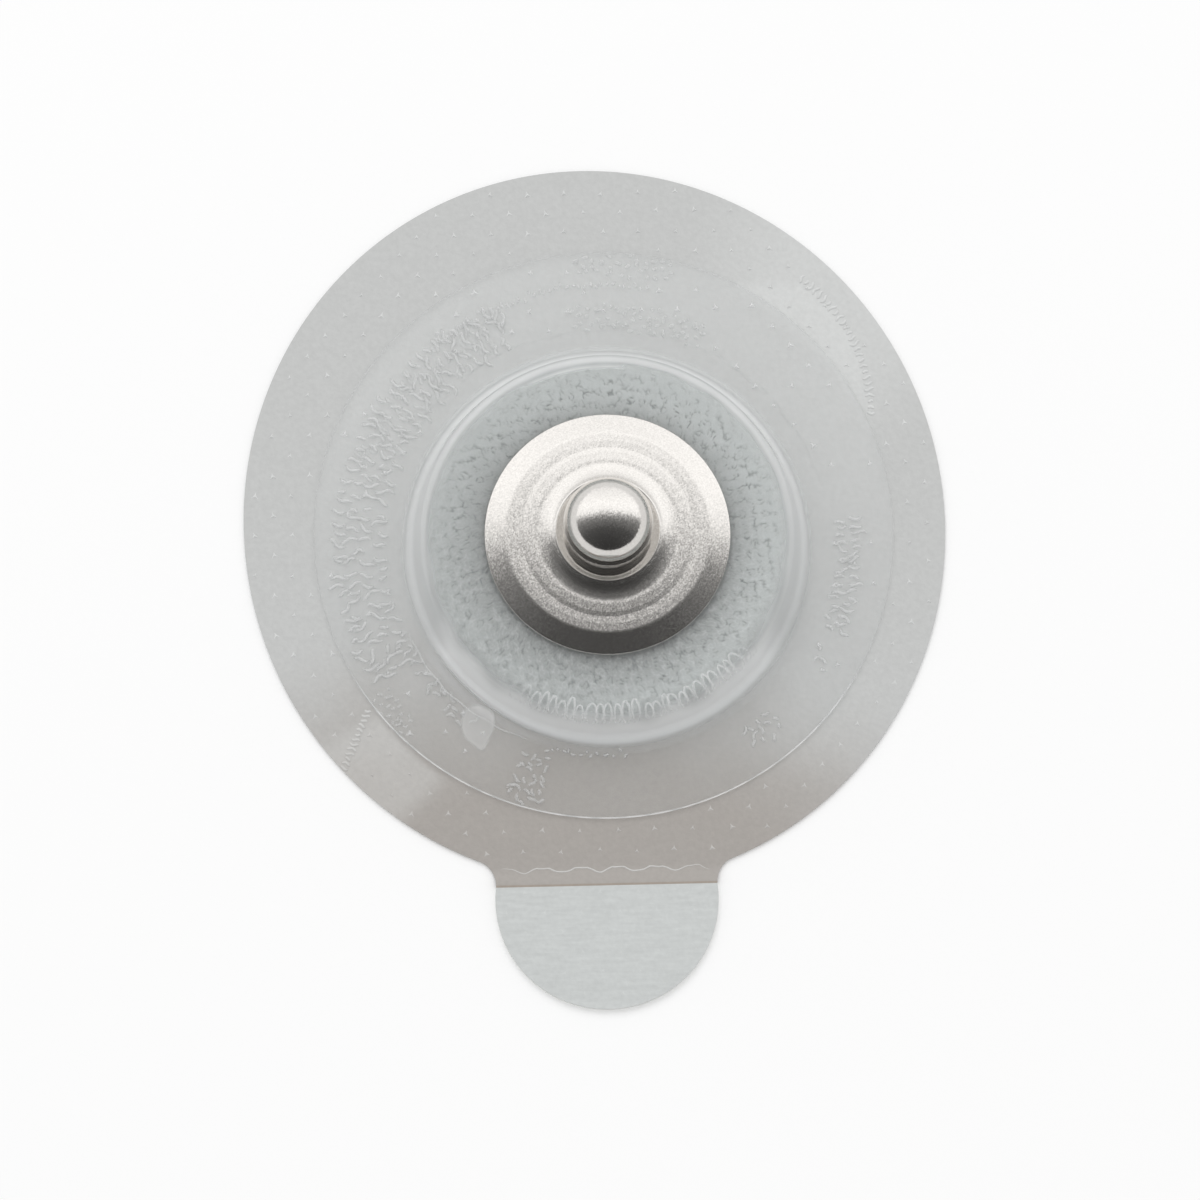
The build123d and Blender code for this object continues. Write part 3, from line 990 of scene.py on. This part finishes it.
crown = ball(head_radius)
inner_crown = ball(head_radius - sheet)[::-1]
skin = rounded(
    [
        crown[-1],
        (head_radius, land_foot),
        (neck_radius, neck_top),
        (neck_radius, collar_top - ledge_dish),
        (collar_top_radius, collar_top),
        (collar_radius, collar_foot),
        (groove_inner, flange_level(groove_inner)),
        (groove_middle, flange_level(groove_middle) - groove_depth),
        (groove_outer, flange_level(groove_outer)),
        (shoulder, shoulder_top),
        (rim_radius, rim_level),
        (rim_radius, flange_under),
        (hem_inner, flange_under),
        (hem_inner, hem_level),
        (shoulder, shoulder_top - sheet),
        (neck_radius - sheet, collar_foot - sheet),
        (neck_radius - sheet, neck_top),
        (head_radius - sheet, land_foot),
        inner_crown[0],
    ],
    [0.1, 0.25, 0.15, 0.08, 1.0, 0.3, 0.3, 0.3, 0.5, 0.1, 0.1, 0.05, 0.05, 0.05, 0.05, 0.05, 0.05],
)
stud_section = np.concatenate([crown[:-1], filled(skin, 0.06), inner_crown[1:]])
on_top = stud_section[:, 1] > flange_level(3.4) - 0.05
stud_section[:, 1] -= wave_depth * (bell(stud_section[:, 0], wave_middle, wave_half_width) * on_top)
stud_columns = 288
stud_angle = np.arange(stud_columns) * 2 * math.pi / stud_columns
stud_points = np.stack(
    [
        stud_section[:, :1] * np.cos(stud_angle),
        stud_section[:, :1] * np.sin(stud_angle),
        stud_section[:, 1:] + 0 * stud_angle,
    ],
    axis=-1,
).reshape(-1, 3)
stud_points = np.concatenate([stud_points, [(0, 0, stud_top), (0, 0, stud_top - sheet)]])
stud_faces = grid_faces(len(stud_section), stud_columns, ring=False)
snap_stud = new_piece("snap_stud_shell", stud_points, stud_faces, crease=60)

# bright on the head, with a stipple on its crown, and satin from the collar outwards
satin = np.clip((stud_section[:, :1] - 2.3) / 0.1, 0, 1) + 0 * stud_angle
store(snap_stud, "satin", np.concatenate([satin.ravel(), [0, 0]]))
crown_part = np.clip((1.5 - stud_section[:, :1]) / 0.2, 0, 1) * (stud_section[:, 1:] > land_top)
grain = 0.02 + 0.08 * satin + 0.08 * crown_part
store(snap_stud, "grain", np.concatenate([grain.ravel(), [0.1, 0.1]]))

# Nickel plate: a silver mirror on the drawn head, with a fine stipple, and satin on the flange with a sparkle
# of small facets that lean at random. The facets are drawn about twice as wide as they are, so that a picture
# shows them.
tree, shader = new_finish("nickel plate on pressed brass", snap_stud)
place = add_node(tree, "ShaderNodeTexCoord").outputs["Object"]
satin_part = add_node(tree, "ShaderNodeAttribute", attribute_name="satin").outputs["Fac"]
facet = add_node(tree, "ShaderNodeTexVoronoi", {"Vector": place, "Scale": 1 / (0.05 * MM)}).outputs["Color"]
lean = add_node(tree, "ShaderNodeVectorMath", {0: facet, 1: (0.5, 0.5, 0.5)}, operation="SUBTRACT")
most = add_node(tree, "ShaderNodeAttribute", attribute_name="grain").outputs["Fac"]
leaning = add_node(tree, "ShaderNodeVectorMath", {0: lean.outputs[0], "Scale": most}, operation="SCALE")
level = add_node(tree, "ShaderNodeNewGeometry").outputs["Normal"]
tipped = add_node(tree, "ShaderNodeVectorMath", {0: level, 1: leaning.outputs[0]}, operation="ADD")
facing = add_node(tree, "ShaderNodeVectorMath", {0: tipped.outputs[0]}, operation="NORMALIZE")
tree.links.new(facing.outputs[0], shader.inputs["Normal"])
gloss = add_node(tree, "ShaderNodeMapRange", {"Value": satin_part, "To Min": 0.1, "To Max": 0.2})
tree.links.new(gloss.outputs["Result"], shader.inputs["Roughness"])
sparkle = add_node(tree, "ShaderNodeSeparateColor", {"Color": facet}).outputs["Red"]
nickel = add_node(
    tree, "ShaderNodeMix", {0: sparkle, 6: linear("#CFCCC8"), 7: linear("#DCD9D5")}, data_type="RGBA"
)
tree.links.new(nickel.outputs[2], shader.inputs["Base Color"])
shader.inputs["Metallic"].default_value = 1.0

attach(snap_stud, "root")
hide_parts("snap_stud")


# Studio
# A white table under an even sky, one soft lamp, and a long lens that looks down from the tab's side, 12.4
# degrees off straight down. The metal mirrors a bright wall on the head's side and a dark room on the tab's.
table_half = 2.0
table_mesh = bpy.data.meshes.new("table")
table_level = -0.005 * MM
table_mesh.from_pydata(
    [
        (-table_half, -table_half, table_level),
        (table_half, -table_half, table_level),
        (table_half, table_half, table_level),
        (-table_half, table_half, table_level),
    ],
    [],
    [(0, 1, 2, 3)],
)
table = bpy.data.objects.new("table", table_mesh)
bpy.context.scene.collection.objects.link(table)
tree, shader = new_finish("matt white table", table)
shader.inputs["Base Color"].default_value = linear("#FFFFFF")
shader.inputs["Roughness"].default_value = 1.0
shader.inputs["Specular IOR Level"].default_value = 0.0

world = bpy.data.worlds.new("studio")
bpy.context.scene.world = world
world.use_nodes = True
world.cycles.sampling_method = "NONE"
tree = world.node_tree
sky = add_node(tree, "ShaderNodeTexCoord").outputs["Generated"]
wall_lean = math.radians(10.6)
wall_aside = 0.025
towards_wall = add_node(
    tree,
    "ShaderNodeVectorMath",
    {0: sky, 1: (wall_aside, math.cos(wall_lean), -math.sin(wall_lean))},
    operation="DOT_PRODUCT",
)
across_sky = add_node(
    tree, "ShaderNodeMapRange", {"Value": towards_wall.outputs["Value"], "From Min": -1.0, "From Max": 1.0}
)
sideways = add_node(tree, "ShaderNodeSeparateXYZ", {"Vector": sky}).outputs["X"]
far_aside = add_node(tree, "ShaderNodeMath", {0: sideways, 1: 6.0}, operation="POWER")
dimmed = add_node(
    tree,
    "ShaderNodeMath",
    {0: far_aside.outputs[0], 1: -0.04, 2: across_sky.outputs["Result"]},
    operation="MULTIPLY_ADD",
)
glow = add_node(tree, "ShaderNodeValToRGB", {"Fac": dimmed.outputs[0]})
stops = glow.color_ramp.elements
stops[0].position, stops[1].position = 0.0, 1.0
for stop, level in zip(stops, (0.035, 0.8)):
    stop.color = (level, level, level, 1.0)
for position, level in (
    (0.2, 0.065),
    (0.37, 0.16),
    (0.43, 0.24),
    (0.5, 0.52),
    (0.57, 0.88),
    (0.7, 0.97),
    (0.83, 0.93),
):
    stops.new(position).color = (level, level, level, 1.0)
mirrored = add_node(tree, "ShaderNodeLightPath").outputs["Is Glossy Ray"]
even_sky = 0.53
room = add_node(
    tree,
    "ShaderNodeMix",
    {0: mirrored, 6: (even_sky, even_sky, even_sky, 1.0), 7: glow.outputs["Color"]},
    data_type="RGBA",
)
tree.links.new(room.outputs[2], tree.nodes["Background"].inputs["Color"])
tree.nodes["Background"].inputs["Strength"].default_value = 1.5

lamp_data = bpy.data.lights.new("soft_lamp", "AREA")
lamp_data.shape = "DISK"
lamp_data.size = 0.9
lamp_data.energy = 3.0
lamp = bpy.data.objects.new("soft_lamp", lamp_data)
lamp.location = (-0.1, 0.65, 0.8)
lamp.rotation_euler = (-lamp.location).to_track_quat("-Z", "Y").to_euler()
lamp.visible_glossy = False
bpy.context.scene.collection.objects.link(lamp)

view_tilt = math.radians(12.4)
view_turn = math.radians(-5)
view_lean = math.radians(1.43)
view_distance = 400 * MM
frame_width = 53.93 * MM
sensor_width = 36
aim = Vector((-0.36, -2.41, 0)) * MM
back = Vector(
    (
        math.sin(view_turn) * math.sin(view_tilt),
        -math.cos(view_turn) * math.sin(view_tilt),
        math.cos(view_tilt),
    )
)
up = Vector((math.sin(view_lean), math.cos(view_lean), 0))
right = up.cross(back).normalized()
camera_data = bpy.data.cameras.new("camera")
camera_data.sensor_width = sensor_width
camera_data.lens = sensor_width * view_distance / frame_width
camera_data.clip_start = 0.01
camera = bpy.data.objects.new("camera", camera_data)
turned = Matrix((right, back.cross(right), back)).transposed()
camera.matrix_world = Matrix.Translation(aim + back * view_distance) @ turned.to_4x4()
bpy.context.scene.collection.objects.link(camera)
bpy.context.scene.camera = camera
bpy.context.scene.view_settings.view_transform = "Standard"
